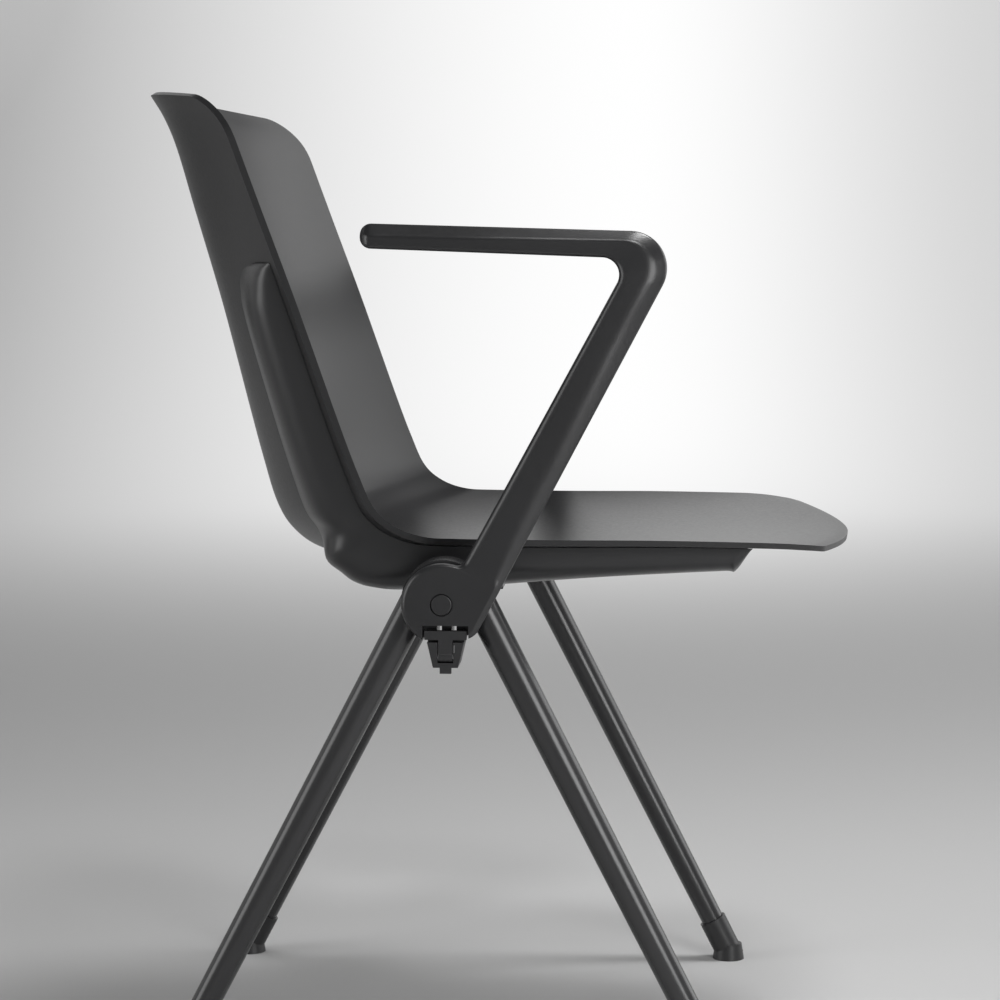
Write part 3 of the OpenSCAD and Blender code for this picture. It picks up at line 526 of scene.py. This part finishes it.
def make_arm():
    outer, inner, pad_dir = arm_outline()
    last = len(outer) - 1
    elbow = PAD_STEPS + ELBOW_STEPS
    foot = last - FOOT_STEPS
    post_mid, disc_mid = ARM_OUT - POST_T / 2, (ARM_IN + ARM_OUT) / 2
    pad_mid = ARM_OUT - PAD_W / 2 - PAD_INSET

    # Along the arm: half its width, and where the middle of its width lies
    half_y = [
        (0, PAD_W * 0.4), (PAD_STEPS / 2, PAD_W / 2), (PAD_STEPS, PAD_W * 0.46),
        (elbow, POST_T * 0.56), (elbow + 5, POST_T / 2), (foot - 8, POST_T / 2),
        (foot + 4, ARM_DISC_T / 2), (last, ARM_DISC_T / 2),
    ]
    mid_y = [
        (0, pad_mid), (PAD_STEPS, pad_mid), (elbow, post_mid), (foot - 8, post_mid),
        (foot + 4, disc_mid), (last, disc_mid),
    ]

    # Along the arm: the slope's rise and depth, then the roundings at its outer edge, at its
    # ridge and at the inner edge
    rise = [(0, 9.5), (PAD_STEPS, 10.5), (elbow, 12), (foot - 8, 10), (foot + 6, 4), (last, 4)]
    depth = [
        (0, 9.5), (PAD_STEPS, 9.5), (elbow, 7.5), (foot - 8, 4.5), (foot + 6, 2.5), (last, 2.5),
    ]
    outer_r = [(0, 4), (PAD_STEPS, 4), (elbow, 5), (foot - 8, 4), (foot + 6, 1.5), (last, 1.5)]
    ridge_r = [(0, 7), (PAD_STEPS, 8), (elbow, 20), (foot - 8, 24), (foot + 6, 3), (last, 3)]
    inner_r = [
        (0, 3.5), (PAD_STEPS, 4), (elbow + 4, 7), (foot - 8, 7.5), (foot + 6, 5.5), (last, 5.5),
    ]

    def ring(i, scale=1):
        middle, half = (outer[i] + inner[i]) / 2, (outer[i] - inner[i]) / 2
        corners = [eased(i, keys) for keys in (outer_r, ridge_r, inner_r)]
        places = face_profile(np.linalg.norm(half), eased(i, rise), eased(i, depth), corners)
        return section_ring(middle, half, eased(i, half_y), eased(i, mid_y), places, scale)

    rings = []
    for k in range(1, TIP_STEPS):
        a = math.pi / 2 * k / TIP_STEPS
        back = PAD_TIP_T / 2 * math.cos(a)
        shift = np.array([pad_dir[0] * back, 0, pad_dir[1] * back])
        rings.append([np.array(point) - shift for point in ring(0, math.sin(a))])
    rings += [ring(i) for i in range(last + 1)]
    sides = len(rings[0])
    foot_ring = (len(rings) - 1) * sides
    faces = [tuple(range(sides)), tuple(foot_ring + k for k in reversed(range(sides)))]
    faces += hoop_faces(len(rings), sides)
    arm = new_object("arm_moulding_left", [p for r in rings for p in r], faces)
    tidy_mesh(arm)
    notch = block(
        "notch",
        (APEX_X - NOTCH_W / 2, ARM_IN - OVER, FOOT_Z - OVER),
        (APEX_X + NOTCH_W / 2, ARM_OUT + OVER, FOOT_Z + NOTCH_H),
    )
    recess = drum("recess", *HUB, ARM_OUT - CAP_T - 1, ARM_OUT + OVER, CAP_D / 2 + CAP_GAP)
    cut(arm, [notch, recess])
    round_edges(arm, width=0.5, segments=2, angle=45)
    return arm


def make_cap():
    cap = drum("cap_left", *HUB, ARM_OUT - CAP_T, ARM_OUT - CAP_SINK, CAP_D / 2)
    round_edges(cap, width=1, segments=4, angle=45)
    return cap


# Materials


def material(name, build):
    """A procedural material: build sets up its shader with the helpers that it is handed."""
    mat = bpy.data.materials.new(name)
    mat.use_nodes = True
    nodes, links = mat.node_tree.nodes, mat.node_tree.links
    shader = nodes["Principled BSDF"]
    coords = nodes.new("ShaderNodeTexCoord").outputs["Object"]

    def noise(scale, detail, roughness=0.5, stretch=None):
        tex = nodes.new("ShaderNodeTexNoise")
        tex.inputs["Scale"].default_value = scale
        tex.inputs["Detail"].default_value = detail
        tex.inputs["Roughness"].default_value = roughness
        if stretch:
            mapping = nodes.new("ShaderNodeMapping")
            mapping.inputs["Scale"].default_value = stretch
            links.new(coords, mapping.inputs["Vector"])
            links.new(mapping.outputs["Vector"], tex.inputs["Vector"])
        else:
            links.new(coords, tex.inputs["Vector"])
        return tex.outputs["Fac"]

    def ramp(value, low, high):
        """Spreads the part of a noise where most of its values lie from low to high."""
        node = nodes.new("ShaderNodeMapRange")
        node.inputs["From Min"].default_value = 0.3
        node.inputs["From Max"].default_value = 0.7
        node.inputs["To Min"].default_value = low
        node.inputs["To Max"].default_value = high
        links.new(value, node.inputs["Value"])
        return node.outputs["Result"]

    def tint(value, dark, light):
        node = nodes.new("ShaderNodeMix")
        node.data_type = "RGBA"
        node.inputs["A"].default_value = (*dark, 1)
        node.inputs["B"].default_value = (*light, 1)
        links.new(value, node.inputs["Factor"])
        links.new(node.outputs["Result"], shader.inputs["Base Color"])

    def bump(value, distance, strength, base=None):
        node = nodes.new("ShaderNodeBump")
        node.inputs["Distance"].default_value = distance
        node.inputs["Strength"].default_value = strength
        links.new(value, node.inputs["Height"])
        if base:
            links.new(base, node.inputs["Normal"])
        links.new(node.outputs["Normal"], shader.inputs["Normal"])
        return node.outputs["Normal"]

    build(shader, links, noise, ramp, tint, bump)
    return mat


def moulded(color, grain, rough):
    """Satin moulded plastic with a fine eroded grain."""

    def build(shader, links, noise, ramp, tint, bump):
        cloud = noise(9, 3)
        tint(ramp(cloud, 0, 1), [0.93 * c for c in color], [1.07 * c for c in color])
        links.new(ramp(noise(grain / 8, 3), *rough), shader.inputs["Roughness"])
        shader.inputs["Specular IOR Level"].default_value = 0.5
        flow = bump(noise(14, 2), 0.0004, 0.15)
        bump(noise(grain, 2, 0.6), 0.00002, 0.6, flow)

    return build


def coated(color):
    """Satin powder coat: a fine orange peel under a soft gloss."""

    def build(shader, links, noise, ramp, tint, bump):
        tint(ramp(noise(30, 3), 0, 1), [0.97 * c for c in color], [1.03 * c for c in color])
        links.new(ramp(noise(400, 2), 0.22, 0.27), shader.inputs["Roughness"])
        shader.inputs["Specular IOR Level"].default_value = 0.5
        shader.inputs["Coat Weight"].default_value = 0.15
        shader.inputs["Coat Roughness"].default_value = 0.15
        bump(noise(900, 2), 0.00001, 0.3)

    return build


def zinc(shader, links, noise, ramp, tint, bump):
    """Bright zinc plate with fine turned marks."""
    shader.inputs["Metallic"].default_value = 1
    tint(ramp(noise(60, 4), 0, 1), (0.50, 0.50, 0.53), (0.66, 0.66, 0.68))
    links.new(ramp(noise(900, 3), 0.22, 0.36), shader.inputs["Roughness"])
    bump(noise(400, 3, 0.6, (1, 1, 8)), 0.00002, 0.4)


BUILDS = {
    "shell_plastic": moulded((0.022, 0.022, 0.023), 2600, (0.28, 0.33)),
    "arm_plastic": moulded((0.021, 0.021, 0.022), 2600, (0.28, 0.33)),
    "nylon": moulded((0.020, 0.020, 0.021), 1800, (0.36, 0.46)),
    "frame_coat": coated((0.024, 0.024, 0.025)),
    "steel": zinc,
}
FINISH = {slot: material(slot, build) for slot, build in BUILDS.items()}


def dress(obj, slot):
    """Gives a piece its finish, and lets it ride on the chair."""
    obj.data.materials.clear()
    obj.data.materials.append(FINISH[slot])
    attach(obj, "chair")


# Pieces that replace the plain CAD solids
shell = make_shell()
dress(shell, "shell_plastic")
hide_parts("seat_shell")
tray = make_tray()
dress(tray, "shell_plastic")
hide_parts("carrier_tray")
arm_left = make_arm()
arm_right = mirrored(arm_left, "arm_moulding_right")
cap_left = make_cap()
cap_right = mirrored(cap_left, "cap_right")
for side, arm, cap in (("left", arm_left, cap_left), ("right", arm_right, cap_right)):
    dress(arm, "arm_plastic")
    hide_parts("arm_" + side)
    dress(cap, "arm_plastic")
    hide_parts("bolt_cap_" + side)

# CAD nodes that stay: each gets its finish, and small roundings where its edges show
ROUNDED = {
    "knuckle_right": 1.6, "knuckle_left": 1.6, "link_housing_right": 0.5, "link_catch_left": 0.5,
    "link_hook": 0.6, "front_glide_right": 0.8, "front_glide_left": 0.8, "rear_glide_right": 0.8,
    "rear_glide_left": 0.8, "mount_plate_right": 0.6, "mount_plate_left": 0.6,
}
slot_of = {s["node"]: s["material_slot"] for s in frame["record"]["subparts"]}
for name, node in frame["nodes"].items():
    if not node.material_slots:
        node.data.materials.append(None)
    for held in node.material_slots:
        held.material = FINISH[slot_of[name]]
    if name in ROUNDED:
        round_edges(node, ROUNDED[name], segments=2, angle=50)

# Camera at the photograph's angle: its place in metres, its lens and sensor in millimetres
CAMERA_AT = Vector((0.14096, -2.363593, 0.675206))
YAW, PITCH = math.radians(3.4067), math.radians(5.0503)
LENS, SENSOR_W = 99.4, 36
camera_data = bpy.data.cameras.new("camera")
camera_data.lens = LENS
camera_data.sensor_width = SENSOR_W
camera = bpy.data.objects.new("camera", camera_data)
camera.matrix_world = (
    Matrix.Translation(CAMERA_AT)
    @ Matrix.Rotation(YAW, 4, "Z")
    @ Matrix.Rotation(math.pi / 2 - PITCH, 4, "X")
)
bpy.context.collection.objects.link(camera)
bpy.context.scene.camera = camera


# Studio, in metres: a pale bowl that is floor and backdrop in one, and soft lamps round the chair
CENTRE_R, FLAT_R, BEND_R, WALL_H, BEND_STEPS = 0.02, 5.0, 2.0, 5.0, 16

# White screen behind the chair: where it fades in and out, and what is left of it at its edges
SCREEN_Y, SCREEN_LEFT, SCREEN_RIGHT, SCREEN_TOP = (1.0, 6.0), (-3.4, 0.1), (0.0, 1.4), (1.5, 4.5)
EDGE_SHARE = 0.6

# Share of white far from the chair, growing with the distance and towards the screen, and the
# dim place that the outer side of the chair's back mirrors
FAR_R, FAR_Y, FAR_SHARES = (1.2, 5.0), (-6.0, 3.0), (0.25, 0.45)
DIM_AT, DIM_R = (-3.0, 4.3, 0.0), (0.9, 3.4)
LIT_SHARE = 0.25  # how much of the white lights the chair
LAMP_AIM_Z = 0.45


def make_bowl():
    bend = [math.pi / 2 * i / BEND_STEPS for i in range(1, BEND_STEPS + 1)]
    profile = [(CENTRE_R, 0), (FLAT_R, 0)]
    profile += [(FLAT_R + BEND_R * math.sin(a), BEND_R * (1 - math.cos(a))) for a in bend]
    profile.append((FLAT_R + BEND_R, WALL_H))
    points = [(x, y, z / MM) for r, z in profile for x, y in circle(r / MM, ROUND_SIDES)]
    faces = [tuple(range(ROUND_SIDES))] + hoop_faces(len(profile), ROUND_SIDES)
    bowl = new_object("studio_bowl", points, faces)
    bowl.data.materials.append(studio_paper())


def studio_paper():
    """Matt pale paper that turns whiter far from the chair and on the screen behind it."""
    mat = bpy.data.materials.new("studio_paper")
    mat.use_nodes = True
    nodes, links = mat.node_tree.nodes, mat.node_tree.links
    coords = nodes.new("ShaderNodeTexCoord").outputs["Object"]

    def math_node(operation, a, b):
        node = nodes.new("ShaderNodeMath")
        node.operation = operation
        links.new(a, node.inputs[0])
        links.new(b, node.inputs[1])
        return node.outputs["Value"]

    def fade(value, start, finish, first=0, last=1):
        node = nodes.new("ShaderNodeMapRange")
        node.interpolation_type = "SMOOTHSTEP"
        node.inputs["From Min"].default_value = start
        node.inputs["From Max"].default_value = finish
        node.inputs["To Min"].default_value = first
        node.inputs["To Max"].default_value = last
        links.new(value, node.inputs["Value"])
        return node.outputs["Result"]

    def away(point):
        node = nodes.new("ShaderNodeVectorMath")
        node.operation = "DISTANCE"
        node.inputs[1].default_value = point
        links.new(coords, node.inputs[0])
        return node.outputs["Value"]

    paper = nodes["Principled BSDF"]
    paper.inputs["Base Color"].default_value = (0.6, 0.6, 0.6, 1)
    paper.inputs["Roughness"].default_value = 0.9
    paper.inputs["Specular IOR Level"].default_value = 0.1
    parts = nodes.new("ShaderNodeSeparateXYZ")
    links.new(coords, parts.inputs["Vector"])
    x, y, z = (parts.outputs[axis] for axis in "XYZ")

    screen = math_node("MULTIPLY", fade(y, *SCREEN_Y), fade(x, *SCREEN_LEFT))
    screen = math_node("MULTIPLY", screen, fade(x, *SCREEN_RIGHT, 1, EDGE_SHARE))
    screen = math_node("MULTIPLY", screen, fade(z, *SCREEN_TOP, 1, EDGE_SHARE))
    far = math_node("MULTIPLY", fade(away((0, 0, 0)), *FAR_R), fade(y, *FAR_Y, *FAR_SHARES))
    far = math_node("MULTIPLY", far, fade(away(DIM_AT), *DIM_R))
    white = math_node("MAXIMUM", screen, far)

    rays = nodes.new("ShaderNodeLightPath").outputs
    seen = math_node("MAXIMUM", rays["Is Camera Ray"], rays["Is Glossy Ray"])
    seen = math_node("MAXIMUM", seen, rays["Is Transmission Ray"])
    shown = nodes.new("ShaderNodeMapRange")
    shown.inputs["To Min"].default_value = LIT_SHARE
    links.new(seen, shown.inputs["Value"])

    blend = nodes.new("ShaderNodeMixShader")
    links.new(math_node("MULTIPLY", shown.outputs["Result"], white), blend.inputs["Fac"])
    links.new(paper.outputs["BSDF"], blend.inputs[1])
    links.new(nodes.new("ShaderNodeEmission").outputs["Emission"], blend.inputs[2])
    links.new(blend.outputs["Shader"], nodes["Material Output"].inputs["Surface"])
    return mat


def lamp(name, azimuth, distance, height, size, watts):
    """A soft lamp round the chair: azimuth counts in degrees from its front towards its left."""
    turn = math.radians(azimuth)
    data = bpy.data.lights.new(name, "AREA")
    data.energy = watts
    data.shape = "RECTANGLE"
    data.size, data.size_y = size
    obj = bpy.data.objects.new(name, data)
    obj.location = (distance * math.cos(turn), distance * math.sin(turn), height)
    view = Vector((0, 0, LAMP_AIM_Z)) - obj.location
    obj.rotation_euler = view.to_track_quat("-Z", "Y").to_euler()
    bpy.context.collection.objects.link(obj)


make_bowl()
lamp("right_box", 308, 1.7, 0.8, (0.7, 1.3), 16)
lamp("front_box", 24, 3.2, 1.5, (2.2, 2.8), 36)
lamp("front_top_box", 34, 0.78, 2.5, (0.5, 0.5), 22)
lamp("side_top_box", 295, 0.95, 2.5, (0.45, 0.45), 14)
lamp("rear_box", 198, 3.0, 1.2, (1.5, 2.3), 27)
lamp("top_box", 45, 1.0, 2.8, (1.6, 1.6), 3)
world = bpy.data.worlds.new("studio_air")
bpy.context.scene.world = world
world.use_nodes = True
air = world.node_tree.nodes["Background"]
air.inputs["Color"].default_value = (1, 1, 1, 1)
air.inputs["Strength"].default_value = 0.04

bpy.context.scene.view_settings.view_transform = "Standard"
